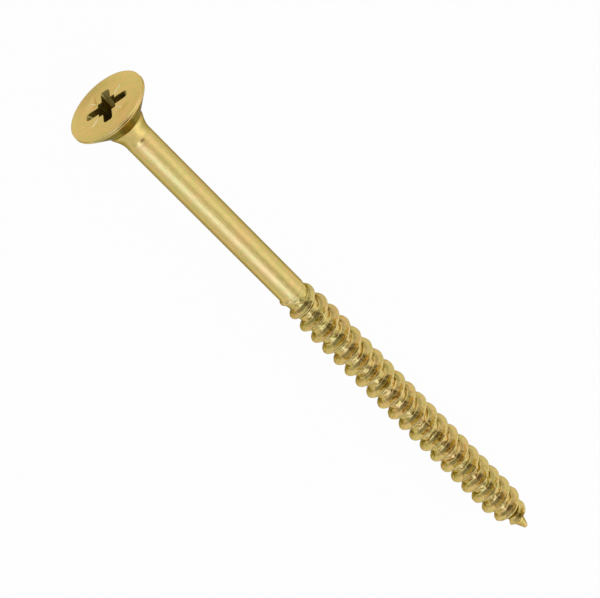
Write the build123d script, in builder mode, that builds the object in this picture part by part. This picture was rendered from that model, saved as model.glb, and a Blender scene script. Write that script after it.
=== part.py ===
"""Countersunk chipboard screw, 4.0 x 70 mm, part-threaded, with a cross recess for a size 2 driver.

The screw lies on its side on the plane z = 0, resting on the rim of its head and on a crest of its
thread. The head is at -X and the point at +X. The screw's own frame starts at the head face: its z runs
along the screw to the point, its x points up, and heights below are measured along its z.
"""

import os
from math import atan, cos, degrees, radians, sin, tan

from build123d import *

# ---- driving dimensions, mm and degrees ----
length = 70.0  # from the head face to the point

head_radius = 4.1
head_edge = 0.2  # bevel between the face and the rim
rim_height = 0.4  # far side of the rim's short land
seat_half_angle = 45.0
neck_radius = 2.02  # where the countersink ends
shank_radius = 1.435
shank_start = 4.3
shank_end = 28.6
shank_step = 0.25  # length of the cone between the shank and the core of the thread

pitch = 1.871
core_radius = 1.25
crest_radius = 1.965
flank_angle = 22.5  # of each flank of a full thread
ridge_sunk = 0.15  # how deep the ridge's foot lies in the core
thread_start = 28.13
start_turn = -90.0  # where round the screw the thread starts
run_in_turns = 2.0
full_turns = 17.5
end_crests = (1.88, 1.69, 1.48, 1.0)  # crest radius at each half turn after the full ones
turns_to_point = 20.5  # from the start of the thread to where the core narrows
fade_turns = 0.25
faded_height = 0.05  # what is left of the ridge at its very end
point_radius = 0.14

recess_turn = 21.5  # of the first wing, from the screw's own x
recess_depth = 2.45
wing_span = 4.5
wing_span_low = 2.3
wing_width = 0.95
wing_width_low = 0.75
quarter_span = 2.6  # square body between the wings, corner to corner
quarter_span_low = 1.9
tick_start = 1.4
tick_end = 2.4
tick_width = 0.22
tick_depth = 0.1

# ---- heights that follow ----
neck_start = rim_height + (head_radius - neck_radius) / tan(radians(seat_half_angle))
half_turn = pitch / 2
full_start = thread_start + run_in_turns * pitch
full_end = full_start + full_turns * pitch
ridge_end = full_end + len(end_crests) * half_turn
fade_end = ridge_end + fade_turns * pitch
point_start = thread_start + turns_to_point * pitch
point_slope = (core_radius - point_radius) / (length - point_start)

# ---- the screw's own frame, tilted so that rim and crest touch the plane ----
tilt = atan((head_radius - crest_radius) / (full_end - rim_height))
along = Vector(cos(tilt), 0, -sin(tilt))
upright = Vector(sin(tilt), 0, cos(tilt))
face_overhang = (head_radius - head_edge) * upright.X  # the head face leans back by this
head_centre = Vector(
    (face_overhang - length * along.X) / 2,
    0,
    head_radius * upright.Z - rim_height * along.Z,
)
screw_frame = Plane(origin=head_centre, x_dir=upright, z_dir=along)


def frame_at(height, turn):
    """The screw's frame moved along its axis and turned about it."""
    return Plane(screw_frame.location * Location((0, 0, height), (0, 0, turn)))


def meridian(frame):
    """The plane through a frame's axis and its x: a profile is drawn as radius and height."""
    return Plane(origin=frame.origin, x_dir=frame.x_dir, z_dir=-frame.y_dir)


# ---- thread: one right-handed ridge, in stretches that run in, stay full and follow the point ----
def crest_turn(height):
    """Where round the screw the crest is at this height."""
    return start_turn + 360 * (height - thread_start) / pitch


def core_at(height):
    """Radius of the core, which narrows along the point."""
    return core_radius - max(0, height - point_start) * point_slope


def ridge_section(height, crest):
    """Section of the ridge with its foot in the core. A low ridge is as wide as a full one."""
    core = core_at(height)
    half_width = (crest_radius - core_radius) * tan(radians(flank_angle))
    half_foot = half_width * (crest - core + ridge_sunk) / (crest - core)
    foot = core - ridge_sunk
    with BuildSketch(meridian(frame_at(height, crest_turn(height)))) as section:
        with BuildLine():
            Polyline((foot, -half_foot), (crest, 0), (foot, half_foot), close=True)
        make_face()
    return section.sketch


def ridge(low, high, *crests):
    """One stretch of the ridge, wound on the core, with one crest radius or one for each end."""
    cone = atan(point_slope) if (low + high) / 2 > point_start else 0
    helix = Helix(pitch / cos(cone), high - low, core_at(low), cone_angle=-degrees(cone))
    sections = [ridge_section(height, crest) for height, crest in zip((low, high), crests)]
    with BuildPart() as stretch:
        sweep(
            sections,
            path=frame_at(low, crest_turn(low)) * helix,
            multisection=len(sections) > 1,
            is_frenet=True,
        )
    return stretch.part


run_in = [ridge(thread_start, full_start, shank_radius, crest_radius)]
full = [
    ridge(full_start + i * half_turn, full_start + (i + 1) * half_turn, crest_radius)
    for i in range(round(2 * full_turns))
]
crests = (crest_radius, *end_crests)
run_out = [
    ridge(full_end + i * half_turn, full_end + (i + 1) * half_turn, *crests[i : i + 2])
    for i in range(len(end_crests))
]
fade = [ridge(ridge_end, fade_end, crests[-1], core_at(fade_end) + faded_height)]

# ---- driver recess: four tapered wings and a square body between them ----
with BuildPart() as recess:
    for turn in (recess_turn, recess_turn + 90):
        with BuildSketch(frame_at(0, turn)):
            Rectangle(wing_span, wing_width)
        with BuildSketch(frame_at(recess_depth, turn)):
            Rectangle(wing_span_low, wing_width_low)
        loft(ruled=True)
    with BuildSketch(frame_at(0, recess_turn)):
        RegularPolygon(quarter_span / 2, 4)
    with BuildSketch(frame_at(recess_depth, recess_turn)):
        RegularPolygon(quarter_span_low / 2, 4)
    loft(ruled=True)

# ---- four short ticks in the head face, halfway between the wings ----
with BuildPart() as ticks:
    for quarter in range(4):
        frame = frame_at(0, recess_turn + 45 + 90 * quarter)
        across = Plane(origin=frame.origin, x_dir=frame.y_dir, z_dir=frame.x_dir)
        with BuildSketch(across.offset(tick_start)):
            with BuildLine():
                Polyline((-tick_width / 2, 0), (tick_width / 2, 0), (0, tick_depth), close=True)
            make_face()
        extrude(amount=tick_end - tick_start)

# ---- the screw: a turned blank of head, neck, shank, core and point, with the rest added and cut ----
with BuildPart() as screw:
    with BuildSketch(meridian(frame_at(0, start_turn))):
        with BuildLine():
            Polyline(
                (0, 0),
                (head_radius - head_edge, 0),
                (head_radius, head_edge),
                (head_radius, rim_height),
                (neck_radius, neck_start),
                (shank_radius, shank_start),
                (shank_radius, shank_end),
                (core_radius, shank_end + shank_step),
                (core_radius, point_start),
                (point_radius, length),
                (0, length),
                close=True,
            )
        make_face()
    revolve(axis=Axis(head_centre, along))
    add(run_in + full + run_out + fade)
    add(recess.part, mode=Mode.SUBTRACT)
    add(ticks.part, mode=Mode.SUBTRACT)

screw.part.label = "screw"
os.makedirs("parts", exist_ok=True)
export_step(screw.part, "parts/screw.step")
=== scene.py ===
"""A 4.0 x 70 mm countersunk chipboard screw in yellow-passivated steel, lying on a pale surface."""

from math import atan, atan2, cos, hypot, pi, radians, sin

import bmesh
import bpy
from mathutils import Matrix, Vector, noise


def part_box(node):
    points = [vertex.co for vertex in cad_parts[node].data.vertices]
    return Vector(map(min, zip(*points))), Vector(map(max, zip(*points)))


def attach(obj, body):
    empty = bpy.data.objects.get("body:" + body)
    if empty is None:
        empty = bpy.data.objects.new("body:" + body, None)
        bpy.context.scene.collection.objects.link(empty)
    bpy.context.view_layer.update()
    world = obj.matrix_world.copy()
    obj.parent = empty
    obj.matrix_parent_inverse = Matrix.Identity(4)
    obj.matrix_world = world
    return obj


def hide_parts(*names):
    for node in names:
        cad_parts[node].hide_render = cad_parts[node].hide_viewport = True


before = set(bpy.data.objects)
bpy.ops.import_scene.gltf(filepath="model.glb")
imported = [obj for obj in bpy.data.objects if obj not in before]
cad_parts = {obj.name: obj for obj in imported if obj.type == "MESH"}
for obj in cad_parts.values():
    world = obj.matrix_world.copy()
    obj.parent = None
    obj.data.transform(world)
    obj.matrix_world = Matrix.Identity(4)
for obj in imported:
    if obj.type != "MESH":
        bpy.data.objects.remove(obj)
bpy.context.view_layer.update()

# ---- Screw ----
# One piece of drawn steel wire. Its head and driver recess are struck cold, its thread and point are
# rolled, and it is plated with bright zinc under a thin yellow chromate film. Nothing holds it: it lies
# on the rim of its head and on a crest of its thread, so its axis dips towards the point.

# It is made upright, in millimetres, with the head face at height 0 and the point up.
length = 70.0
head_radius = 4.1
face_radius = 3.9
rim_height = 0.4
shank_radius = 1.435
shank_end = 28.6
core_radius = 1.3
core_start = 29.7
crest_radius = 1.965
crest_width = 0.2
flank_run = 0.235  # from crest to root, along the screw
pitch = 1.871
thread_start = 28.13
start_turn = -0.25  # where round the screw the thread starts, in turns from its own x
full_end = thread_start + 19.5 * pitch  # from here on the crest dies away
point_start = thread_start + 20.5 * pitch  # from here on the core narrows

# one pitch of the rolled profile as (radius, height), with the crest in the middle
half_crest = crest_width / 2
flank_foot = half_crest + flank_run
profile = [
    (core_radius + 0.02, -pitch / 2),
    (core_radius, -pitch / 3),
    (core_radius + 0.02, -flank_foot),
    (crest_radius, -half_crest),
    (crest_radius, half_crest),
    (core_radius + 0.04, flank_foot),
    (core_radius + 0.05, pitch / 3),
    (core_radius + 0.02, pitch / 2),
]
root_rounding = 0.34
crest_rounding = 0.095
longest_edge = 0.3
sides = 72
turns = 25
turns_before = 2  # made below the start of the thread, and turned into shank
first_crest = thread_start - (start_turn + turns_before) * pitch
screw = bmesh.new()
corners = [screw.verts.new((radius, 0, first_crest + height)) for radius, height in profile]
for a, b in zip(corners, corners[1:]):
    screw.edges.new((a, b))
roots, crests = [corners[2], corners[5]], [corners[3], corners[4]]
for soft, rounding, segments in ((roots, root_rounding, 6), (crests, crest_rounding, 4)):
    bmesh.ops.bevel(
        screw, geom=soft, offset=rounding, offset_type="OFFSET", affect="VERTICES",
        segments=segments, profile=0.5, material=-1,
    )
long_edges = [e for e in screw.edges if e.calc_length() > longest_edge]
bmesh.ops.subdivide_edges(screw, edges=long_edges, cuts=2, use_grid_fill=False)
bmesh.ops.spin(
    screw, geom=screw.verts[:] + screw.edges[:], cent=(0, 0, 0), axis=(0, 0, 1),
    dvec=(0, 0, pitch / sides), angle=2 * pi, steps=sides, use_merge=False,
)
one_turn = screw.verts[:] + screw.edges[:] + screw.faces[:]
for turn in range(1, turns):
    made = bmesh.ops.duplicate(screw, geom=one_turn)["geom"]
    verts = [g for g in made if isinstance(g, bmesh.types.BMVert)]
    bmesh.ops.translate(screw, verts=verts, vec=(0, 0, turn * pitch))
bmesh.ops.remove_doubles(screw, verts=screw.verts[:], dist=0.002)


def cut(height, **clear):
    """Cuts the screw square across. clear_inner drops what is below, clear_outer what is above."""
    every = screw.verts[:] + screw.edges[:] + screw.faces[:]
    bmesh.ops.bisect_plane(
        screw, geom=every, plane_co=(0, 0, height), plane_no=(0, 0, 1), dist=0.0001, **clear
    )


rolled_from, rolled_to = 27.0, 69.75
cut(rolled_from, clear_inner=True)
cut(rolled_to, clear_outer=True)
# edges that hold the step at the shank's end and the ends of the core
for height in (shank_end - 0.03, shank_end, shank_end + 0.07, shank_end + 0.12, core_start, point_start):
    cut(height)

# the bare blank under the thread as (height, radius): a small step below the shank, core and point
blank = (
    (shank_end, shank_radius),
    (shank_end + 0.07, shank_radius - 0.055),
    (shank_end + 0.6, shank_radius - 0.05),
    (core_start, core_radius),
    (point_start, core_radius),
    (66.75, 1.14),
    (67.05, 0.96),
    (67.4, 0.82),
    (67.75, 0.73),
    (68.6, 0.61),
    (69.1, 0.47),
    (69.7, 0.3),
    (length, 0.2),
)
# how far out the crest stands, as (turns, radius): growing from the start, then dying away on the point
run_in = (
    (0.34, shank_radius - 0.06),
    (0.42, 1.55),
    (0.5, 1.63),
    (1.0, 1.73),
    (1.5, 1.82),
    (2.0, 1.92),
    (2.5, 1.95),
    (3.0, crest_radius),
)
run_out = (
    (0, crest_radius),
    (0.5, 1.92),
    (1.0, 1.69),
    (1.5, 1.5),
    (1.6, 1.4),
    (1.75, 1.02),
    (1.9, 0.86),
    (2.0, 1.0),
    (2.05, 0.6),
)
crest_line = (
    *((thread_start + turn * pitch, radius) for turn, radius in run_in),
    *((full_end + turn * pitch, radius) for turn, radius in run_out),
    (length, 0.1),
)
rolling_marks = 0.035  # unevenness that the rolls leave
marks_per_mm = 1.8
collar_height = 68.15  # low torn edge where the thread ends, which leans back on the upper side
collar_lean = 0.3
collar = ((-0.5, 0), (-0.1, 0.1), (0.0, 0.1), (0.1, 0))
ridge_waver = 0.03
wavers_per_mm = 1.3


def between(place, stops):
    """Reads a value off a run of (place, value) stops."""
    for (a, value_a), (b, value_b) in zip(stops, stops[1:]):
        if place <= b:
            share = max(0, (place - a) / (b - a))
            return value_a + (value_b - value_a) * share
    return stops[-1][1]


for v in screw.verts:
    radius = hypot(v.co.x, v.co.y)
    turn = atan2(v.co.y, v.co.x) / (2 * pi) - start_turn
    crest_height = thread_start + pitch * turn
    crest_height += pitch * round((v.co.z - crest_height) / pitch)
    share = (radius - core_radius) / (crest_radius - core_radius)
    bare = between(v.co.z, blank)
    new_radius = bare + share * max(0, between(crest_height, crest_line) - bare)
    if v.co.z > shank_end:
        depth = rolling_marks * min(1, new_radius, v.co.z - shank_end)
        new_radius = min(new_radius + depth * noise.noise(v.co * marks_per_mm), crest_radius)
    if v.co.z > point_start:
        past_collar = v.co.z - collar_height + collar_lean * v.co.x / radius
        new_radius += between(past_collar, collar)
        v.co.z += ridge_waver * noise.noise(v.co * wavers_per_mm) * share
    v.co.xy *= new_radius / radius


def draw_out(rim, rings):
    """Carries an open rim on through rings of (height, radius) and closes the last one."""
    for height, radius in rings:
        made = bmesh.ops.extrude_edge_only(screw, edges=rim)["geom"]
        rim = [g for g in made if isinstance(g, bmesh.types.BMEdge)]
        ring = [g for g in made if isinstance(g, bmesh.types.BMVert)]
        now = hypot(ring[0].co.x, ring[0].co.y)
        bmesh.ops.scale(screw, verts=ring, vec=(radius / now, radius / now, 1))
        bmesh.ops.translate(screw, verts=ring, vec=(0, 0, height - ring[0].co.z))
    bmesh.ops.contextual_create(screw, geom=rim)


nose = ((69.88, 0.25), (69.96, 0.17), (69.985, 0.06))
head = (
    # plain shank, and the faint ring where the neck begins
    (20.0, shank_radius), (12.0, shank_radius), (5.3, shank_radius), (4.85, shank_radius),
    (4.75, 1.425), (4.45, 1.447), (4.2, 1.478),
    # neck, curving out to the seat
    (3.8, 1.58), (3.35, 1.74), (2.98, 1.905), (2.78, 1.965), (2.55, 2.01), (2.42, 2.08), (2.28, 2.2),
    # seat of 90 degrees, and the rim with a shallow groove along it
    (0.52, 3.97), (0.44, 4.04), (0.4, 4.075), (0.36, 4.095), (0.32, head_radius), (0.28, 4.09),
    (0.22, 4.06), (0.17, 4.06), (0.12, 4.085), (0.09, 4.09), (0.055, 4.085), (0.03, 4.06), (0.012, 4.02),
    # flat face, sunk by a hair inside its edge
    (0.004, 3.96), (0.012, 3.9), (0.02, 3.8), (0.02, 3.2),
)
draw_out([e for e in screw.edges if e.is_boundary and e.verts[0].co.z > length / 2], nose)
draw_out([e for e in screw.edges if e.is_boundary], head)
bmesh.ops.recalc_face_normals(screw, faces=screw.faces[:])
steel = bpy.data.materials.new("yellow_zinc")
screw_mesh = bpy.data.meshes.new("screw")
screw_mesh.materials.append(steel)
screw.to_mesh(screw_mesh)
screw.free()
blank_screw = bpy.data.objects.new("blank_screw", screw_mesh)
bpy.context.scene.collection.objects.link(blank_screw)


# Nodes are added to the material at hand, which nodes and links name.
def put(value, socket):
    """Links a value that is a socket, and sets one that is a number or a colour."""
    if isinstance(value, bpy.types.NodeSocket):
        links.new(value, socket)
    else:
        socket.default_value = value


def calculate(operation, *values):
    """One Math node. A value is a socket or a number."""
    node = nodes.new("ShaderNodeMath")
    node.operation = operation
    for socket, value in zip(node.inputs, values):
        put(value, socket)
    return node.outputs[0]


def mix(blend_type, factor, a, b):
    """One colour mixed or multiplied with another."""
    node = nodes.new("ShaderNodeMix")
    node.data_type = "RGBA"
    node.blend_type = blend_type
    for name, value in (("Factor", factor), ("A", a), ("B", b)):
        put(value, node.inputs[name])
    return node.outputs["Result"]


def ramp(value, *stops):
    """A ramp of (place from 0 to 1, grey level or colour) stops."""
    node = nodes.new("ShaderNodeValToRGB")
    while len(node.color_ramp.elements) < len(stops):
        node.color_ramp.elements.new(0.5)
    for stop, (where, tone) in zip(node.color_ramp.elements, stops):
        stop.position = where
        stop.color = (*tone, 1) if isinstance(tone, tuple) else (tone, tone, tone, 1)
    links.new(value, node.inputs["Fac"])
    return node.outputs["Color"]


def cloudy(place, per_mm, detail, roughness=0.5):
    """Soft noise from 0 to 1, of about so many patches to the millimetre."""
    node = nodes.new("ShaderNodeTexNoise")
    node.inputs["Scale"].default_value = per_mm
    node.inputs["Detail"].default_value = detail
    node.inputs["Roughness"].default_value = roughness
    links.new(place, node.inputs["Vector"])
    return node.outputs["Fac"]


# zinc inside the recess, rougher and painted dark as painted shade, and zinc in the ticks painted bright as
# a painted highlight
struck = {}
for name, roughness, per_mm, detail, tones in (
    ("shaded_recess_zinc", 0.4, 1.5, 4, ((0.35, (0.32, 0.26, 0.075)), (0.65, (0.5, 0.41, 0.13)))),
    ("highlit_tick_zinc", 0.3, 3.0, 2, ((0.35, (0.78, 0.66, 0.32)), (0.65, (0.9, 0.8, 0.48)))),
):
    struck[name] = bpy.data.materials.new(name)
    struck[name].use_nodes = True
    nodes, links = struck[name].node_tree.nodes, struck[name].node_tree.links
    shader = nodes["Principled BSDF"]
    shader.inputs["Metallic"].default_value = 1.0
    shader.inputs["Roughness"].default_value = roughness
    in_mm = nodes.new("ShaderNodeMapping")
    in_mm.inputs["Scale"].default_value = (1000, 1000, 1000)
    links.new(nodes.new("ShaderNodeTexCoord").outputs["Object"], in_mm.inputs["Vector"])
    links.new(ramp(cloudy(in_mm.outputs["Vector"], per_mm, detail), *tones), shader.inputs["Base Color"])
# the recess also mirrors darker, as more painted shade
recess_shader = struck["shaded_recess_zinc"].node_tree.nodes["Principled BSDF"]
recess_shader.inputs["Specular Tint"].default_value = (0.3, 0.26, 0.2, 1)


def strike(punch, name, finish):
    """Cuts a closed punch out of the head and gives the cut walls a finish."""
    bmesh.ops.recalc_face_normals(punch, faces=punch.faces[:])
    punch_mesh = bpy.data.meshes.new(name)
    punch_mesh.materials.append(struck[finish])
    punch.to_mesh(punch_mesh)
    punch.free()
    tool = bpy.data.objects.new(name, punch_mesh)
    bpy.context.scene.collection.objects.link(tool)
    cut_out = blank_screw.modifiers.new(name, "BOOLEAN")
    cut_out.operation = "DIFFERENCE"
    cut_out.object = tool
    cut_out.solver = "MANIFOLD"
    cut_out.material_mode = "TRANSFER"
    return tool


def add_bar(punch, turn, out, depth, low, high, lip=0.05, corner=0):
    """A tapered bar, low = (length, width) at its end and high at the face, where a bevel widens it."""
    verts = bmesh.ops.create_grid(punch, x_segments=1, y_segments=1, size=0.5)["verts"]
    bmesh.ops.scale(punch, verts=verts, vec=(*low, 1))
    if corner:
        verts = bmesh.ops.bevel(
            punch, geom=verts, offset=corner, offset_type="OFFSET", affect="VERTICES",
            segments=4, profile=0.5, material=-1,
        )["verts"]
    end = [*verts[0].link_faces, *{e for v in verts for e in v.link_edges}, *verts]
    bmesh.ops.translate(punch, verts=verts, vec=(out, 0, depth))
    bar, now = list(verts), low
    mouth = (high[0] + 2 * lip, high[1] + 2 * lip)
    above_face = -0.5
    for height, size in ((lip, high), (0, mouth), (above_face, mouth)):
        end = bmesh.ops.extrude_face_region(punch, geom=end)["geom"]
        verts = [g for g in end if isinstance(g, bmesh.types.BMVert)]
        centre = Matrix.Translation((-out, 0, 0))
        bmesh.ops.scale(punch, verts=verts, vec=(size[0] / now[0], size[1] / now[1], 1), space=centre)
        bmesh.ops.translate(punch, verts=verts, vec=(0, 0, height - verts[0].co.z))
        bar += verts
        now = size
    bmesh.ops.rotate(punch, verts=bar, cent=(0, 0, 0), matrix=Matrix.Rotation(turn, 3, "Z"))


# the size 2 recess: four tapered wings with rounded ends, and a square body halfway between them
recess_turn = radians(21.5)
recess_depth = 2.45
wing_low, wing_high, wing_corner = (2.3, 0.75), (4.5, 0.95), 0.2
body_low, body_high, body_corner = (1.34, 1.34), (1.84, 1.84), 0.06
tools = []
for name, turn, low, high, corner in (
    ("wings", recess_turn, wing_low, wing_high, wing_corner),
    ("cross_wings", recess_turn + pi / 2, wing_low, wing_high, wing_corner),
    ("body", recess_turn, body_low, body_high, body_corner),
):
    punch = bmesh.new()
    add_bar(punch, turn, 0, recess_depth, low, high, corner=corner)
    # the recess walls take the zinc painted dark, as painted shade
    tools.append(strike(punch, name, "shaded_recess_zinc"))

# four ticks in the face, halfway between the wings, two of them struck deeper
tick_middle = 1.95
tick_low, tick_length = (0.9, 0.03), 1.0
tick_sizes = ((0.1, 0.19), (0.05, 0.09))  # depth and width
punch = bmesh.new()
for quarter in range(4):
    depth, width = tick_sizes[quarter % 2]
    turn = recess_turn + (quarter + 0.5) * pi / 2
    add_bar(punch, turn, tick_middle, depth, tick_low, (tick_length, width), lip=0.02)
# the tick walls take the zinc painted bright, as a painted highlight
tools.append(strike(punch, "ticks", "highlit_tick_zinc"))
finished = bpy.data.meshes.new_from_object(blank_screw.evaluated_get(bpy.context.evaluated_depsgraph_get()))
for used in (blank_screw, *tools):
    bpy.data.objects.remove(used)

# laid down on its rim and a crest, with its head where the solid has it
lean = atan((head_radius - crest_radius) / (full_end - rim_height))
head_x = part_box("screw")[0].x * 1000 + face_radius * sin(lean)
head_z = head_radius * cos(lean) + rim_height * sin(lean)
to_rest = (
    Matrix.Scale(0.001, 4)
    @ Matrix.Translation((head_x, 0, head_z))
    @ Matrix.Rotation(radians(90) + lean, 4, "Y")
    @ Matrix.Rotation(radians(180), 4, "Z")
)
finished.transform(to_rest)
finished.shade_smooth()
finished.set_sharp_from_angle(angle=radians(35))
finished.name = "screw_steel"
screw_object = bpy.data.objects.new("steel_screw", finished)
bpy.context.scene.collection.objects.link(screw_object)

# the zinc and its film: on_screw is a place in the screw's own millimetres, as it was made
steel.use_nodes = True
nodes, links = steel.node_tree.nodes, steel.node_tree.links
shader = nodes["Principled BSDF"]
shader.inputs["Metallic"].default_value = 1.0
shader.inputs["Specular Tint"].default_value = (0.38, 0.32, 0.2, 1)
upright = nodes.new("ShaderNodeMapping")
upright.vector_type = "TEXTURE"
upright.inputs["Location"].default_value = to_rest.translation
upright.inputs["Rotation"].default_value = to_rest.to_euler()
upright.inputs["Scale"].default_value = (0.001, 0.001, 0.001)
links.new(nodes.new("ShaderNodeTexCoord").outputs["Object"], upright.inputs["Vector"])
on_screw = upright.outputs["Vector"]
split = nodes.new("ShaderNodeSeparateXYZ")
links.new(on_screw, split.inputs["Vector"])
x, y, z = split.outputs
out = calculate("SQRT", calculate("ADD", calculate("POWER", x, 2), calculate("POWER", y, 2)))
part_turn = calculate("MULTIPLY", calculate("ARCTAN2", y, x), 1 / (2 * pi))
climb = calculate("MULTIPLY_ADD", z, 1 / pitch, start_turn - thread_start / pitch)
phase = calculate("FRACT", calculate("SUBTRACT", climb, part_turn))  # 0 and 1 on the crest
part_length = calculate("MULTIPLY", z, 1 / length)


def along(*stops):
    """Levels along the screw, as (height in mm, level) stops."""
    return ramp(part_length, *((height / length, level) for height, level in stops))


threaded = along((28.35, 0), (29.4, 1))
patches = cloudy(on_screw, per_mm=1.6, detail=4)

# gold, with faint drifts of green and pink where the film is thinner or thicker
drifts = cloudy(on_screw, per_mm=0.45, detail=3)
colour = ramp(drifts, (0.36, (0.75, 0.635, 0.222)), (0.64, (0.81, 0.61, 0.23)))

# Painted shade: the foot of the leading flank is darkened, in patches, except on the point.
# The whole thread is also a little darker and warmer.
foot = ramp(phase, (0.0, 0), (0.7, 0), (0.76, 0.7), (0.83, 0.7), (0.88, 0), (1.0, 0))
before_point = along((28.35, 0), (29.4, 1), (65.8, 1), (66.85, 0))
painted_root_shade = calculate("MULTIPLY", foot, before_point)
painted_root_shade = calculate("MULTIPLY", painted_root_shade, ramp(patches, (0.35, 0.5), (0.6, 1)))
colour = mix("MULTIPLY", painted_root_shade, colour, (0.41, 0.41, 0.33, 1))
colour = mix("MULTIPLY", threaded, colour, (0.95, 0.93, 0.9, 1))

# painted highlights: the crests, the head's rim and the shank's end are painted brighter
crest = ramp(phase, (0.0, 1), (0.03, 0.6), (0.06, 0), (0.94, 0), (0.97, 0.6), (1.0, 1))
crest = calculate("MULTIPLY", crest, threaded)
crest = calculate("MULTIPLY", crest, ramp(patches, (0.35, 0.3), (0.6, 1)))
rim_edge = along((0, 0), (0.042, 1), (0.084, 1), (0.21, 0))
outside_face = calculate("GREATER_THAN", out, face_radius - 0.05)
rim_edge = calculate("MULTIPLY", rim_edge, outside_face)
shank_edge = along((28.49, 0), (28.546, 1), (28.63, 1), (28.658, 0))
painted_highlights = calculate("MAXIMUM", crest, calculate("MAXIMUM", rim_edge, shank_edge))
colour = mix("MIX", painted_highlights, colour, (0.85, 0.71, 0.3, 1))

# a fine mottle all over and a warmer head face; the seat is painted darker and cooler, as a painted
# reflection
mottle = cloudy(on_screw, per_mm=1.7, detail=4, roughness=0.65)
specks = ramp(mottle, (0.35, (0.89, 0.93, 0.85)), (0.65, (1.05, 0.94, 1.0)))
colour = mix("MULTIPLY", 1.0, colour, specks)
colour = mix("MULTIPLY", along((0, 1), (0.14, 1), (0.42, 0)), colour, (1.03, 0.98, 0.97, 1))
seat = along((0, 0), (0.525, 0), (0.7, 1), (1.54, 1), (1.96, 0))
colour = mix("MULTIPLY", seat, colour, (0.66, 0.78, 0.9, 1))
links.new(colour, shader.inputs["Base Color"])

# faint streaks from the drawing die along the wire, and a crinkled skin on the rolled thread
drawn = nodes.new("ShaderNodeMapping")
drawn.inputs["Scale"].default_value = (7, 7, 1.1)
links.new(on_screw, drawn.inputs["Vector"])
streaks = cloudy(drawn.outputs["Vector"], per_mm=1.0, detail=3)
crinkle = calculate("MULTIPLY", cloudy(on_screw, per_mm=1.7, detail=1), threaded)
streak_depth, crinkle_depth = 0.01, 0.12
relief = calculate("MULTIPLY_ADD", crinkle, crinkle_depth, calculate("MULTIPLY", streaks, streak_depth))
bump = nodes.new("ShaderNodeBump")
bump.inputs["Strength"].default_value = 1.0
bump.inputs["Distance"].default_value = 0.001
links.new(relief, bump.inputs["Height"])
links.new(bump.outputs["Normal"], shader.inputs["Normal"])
links.new(ramp(streaks, (0.35, 0.15), (0.65, 0.27)), shader.inputs["Roughness"])
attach(screw_object, "root")
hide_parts("screw")

# ---- Floor ----
# A sheet of smooth white paper, three metres across, that the screw lies on. It shows white with a
# faint shadow. As the metal mirrors it, it is painted in greys: a painted shadow close under the screw,
# and painted shade in front of the head and beside the shank.
floor_mesh = bmesh.new()
bmesh.ops.create_grid(floor_mesh, x_segments=1, y_segments=1, size=1.5)
floor_data = bpy.data.meshes.new("floor")
floor_mesh.to_mesh(floor_data)
floor_mesh.free()
floor = bpy.data.objects.new("floor", floor_data)
bpy.context.scene.collection.objects.link(floor)
paper = bpy.data.materials.new("white_paper")
paper.use_nodes = True
nodes, links = paper.node_tree.nodes, paper.node_tree.links
diffuse = nodes["Principled BSDF"]
diffuse.inputs["Base Color"].default_value = (0.92, 0.92, 0.92, 1)
diffuse.inputs["Roughness"].default_value = 1.0
diffuse.inputs["Specular IOR Level"].default_value = 0.0
glow = nodes.new("ShaderNodeEmission")
glow.inputs["Color"].default_value = (1, 1, 1, 1)
# painted shadow: in the metal's mirror the paper darkens close under the screw
near_screw = nodes.new("ShaderNodeAmbientOcclusion")
near_screw.inputs["Distance"].default_value = 0.003
on_floor = nodes.new("ShaderNodeSeparateXYZ")
links.new(nodes.new("ShaderNodeTexCoord").outputs["Object"], on_floor.inputs["Vector"])
reach = 0.045  # the greys are laid out along x, this far each way from the middle
part_way = calculate("MULTIPLY_ADD", on_floor.outputs["X"], 0.5 / reach, 0.5)
# painted shade in the mirror: darker bands along x, in front of the head and beside the shank
greys = (
    (-reach, 0.62), (-0.041, 0.62), (-0.036, 1.0), (-0.03, 0.55), (-0.006, 0.55), (0.0, 0.8), (reach, 0.8),
)
grey = ramp(part_way, *((0.5 + 0.5 * place / reach, level) for place, level in greys))
mirrored = calculate("MULTIPLY", near_screw.outputs["AO"], grey)
ray = nodes.new("ShaderNodeLightPath").outputs
paper_white, white_through_glass = 0.975, 0.8
white = calculate("MULTIPLY", ray["Is Camera Ray"], paper_white)
white = calculate("MULTIPLY_ADD", ray["Is Glossy Ray"], mirrored, white)
white = calculate("MULTIPLY_ADD", ray["Is Transmission Ray"], white_through_glass, white)
blend = nodes.new("ShaderNodeMixShader")
links.new(white, blend.inputs["Fac"])
links.new(diffuse.outputs[0], blend.inputs[1])
links.new(glow.outputs[0], blend.inputs[2])
links.new(blend.outputs[0], nodes["Material Output"].inputs["Surface"])
floor_data.materials.append(paper)

# ---- Studio light ----
# Large soft white panels with dark gaps between them, hung all round in long bands that run the same
# way as the screw. They are laid out by direction: round the screw, and along it from head to point.
world = bpy.data.worlds.new("studio")
bpy.context.scene.world = world
world.use_nodes = True
nodes, links = world.node_tree.nodes, world.node_tree.links
screw_way = nodes.new("ShaderNodeMapping")
screw_way.vector_type = "TEXTURE"
screw_way.inputs["Rotation"].default_value = to_rest.to_euler()
links.new(nodes.new("ShaderNodeTexCoord").outputs["Generated"], screw_way.inputs["Vector"])
split = nodes.new("ShaderNodeSeparateXYZ")
links.new(screw_way.outputs["Vector"], split.inputs["Vector"])
above, beside, ahead = split.outputs
around = calculate("MULTIPLY_ADD", calculate("ARCTAN2", beside, above), 1 / (2 * pi), 0.5)
brightest = 2.0


def band(*stops):
    """Levels round the screw, by the angle from straight above it, in degrees, grey or with a tint."""
    places = []
    for angle, level, *tint in stops:
        colour = tuple(level * part / brightest for part in tint or (1, 1, 1))
        places.append(((angle + 180) / 360, colour))
    levels = ramp(around, *places)
    levels.node.color_ramp.interpolation = "B_SPLINE"
    return levels


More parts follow.
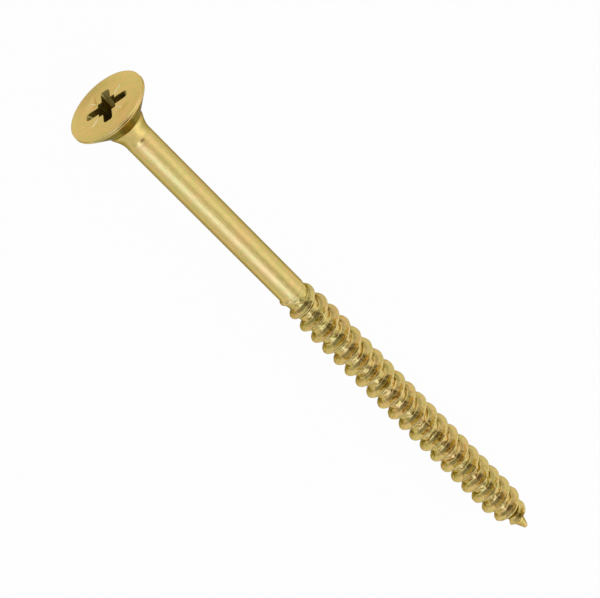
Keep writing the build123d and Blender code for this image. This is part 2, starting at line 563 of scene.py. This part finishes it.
def blend_along(near, far, start, end):
    """Goes over from one band to the next, from start to end along the screw's direction."""
    where = nodes.new("ShaderNodeMapRange")
    where.interpolation_type = "SMOOTHSTEP"
    where.inputs["From Min"].default_value = start
    where.inputs["From Max"].default_value = end
    links.new(ahead, where.inputs["Value"])
    return mix("MIX", where.outputs["Result"], near, far)


cool = (0.9, 1.02, 1.65)
brown = (1.2, 0.95, 0.6)
behind_head = band(
    (-180, 0.5), (-120, 0.65), (-75, 0.95), (-50, 0.95), (-28, 0.5), (-12, 0.12, *brown),
    (8, 0.12, *brown), (28, 0.4), (60, 0.5), (100, 0.5), (180, 0.5),
)
above_shank = band(
    (-180, 0.5), (-130, 0.45), (-100, 0.52), (-75, 0.95), (-45, 1.1), (-30, 0.95), (-18, 0.7), (-8, 0.95),
    (8, 1.05), (22, 1.35, *cool), (38, 1.45, *cool), (54, 0.9), (80, 0.78), (105, 0.5), (180, 0.5),
)
above_thread = band(
    (-180, 0.5), (-100, 0.6), (-75, 0.9), (-45, 1.0), (-33, 0.75), (-24, 0.1, *brown), (-10, 0.06, *brown),
    (2, 0.1, *brown), (10, 0.45), (20, 1.5, *cool), (30, 2.0, *cool), (40, 1.1, *cool), (55, 0.6),
    (80, 0.65), (115, 0.5), (180, 0.5),
)
beyond_point = band(
    (-180, 0.5), (-100, 0.8), (-62, 1.4), (-42, 1.3), (-10, 0.9), (25, 0.75), (60, 0.8), (115, 0.6),
    (180, 0.5),
)
horizon = band((-180, 0.3), (-95, 0.4), (-70, 1.2), (-40, 1.2), (-15, 0.75), (60, 0.6), (180, 0.3))
studio_light = blend_along(behind_head, above_shank, 0.3, 0.48)
studio_light = blend_along(studio_light, above_thread, 0.58, 0.625)
studio_light = blend_along(studio_light, beyond_point, 0.7, 0.8)
studio_light = blend_along(studio_light, horizon, 0.972, 0.995)
background = nodes["Background"]
links.new(studio_light, background.inputs["Color"])
background.inputs["Strength"].default_value = brightest

# ---- Camera ----
# It looks down on the screw from the head's side, and is turned so that the screw runs down to the
# right. It stands a third of a metre away, with a long lens.
camera_data = bpy.data.cameras.new("camera")
camera_data.lens = 201.77
camera_data.sensor_width = 36
camera_data.clip_start = 0.01
camera = bpy.data.objects.new("camera", camera_data)
camera_place = (-0.178725, 0.0000467, 0.2735745)
right = Vector((0.594215, 0.70774, 0.382106))
up = Vector((-0.595289, 0.70647, -0.382791))
facing = Matrix((right, up, right.cross(up))).transposed().to_4x4()
camera.matrix_world = Matrix.Translation(camera_place) @ facing
bpy.context.scene.collection.objects.link(camera)
bpy.context.scene.camera = camera
bpy.context.scene.view_settings.view_transform = "Standard"
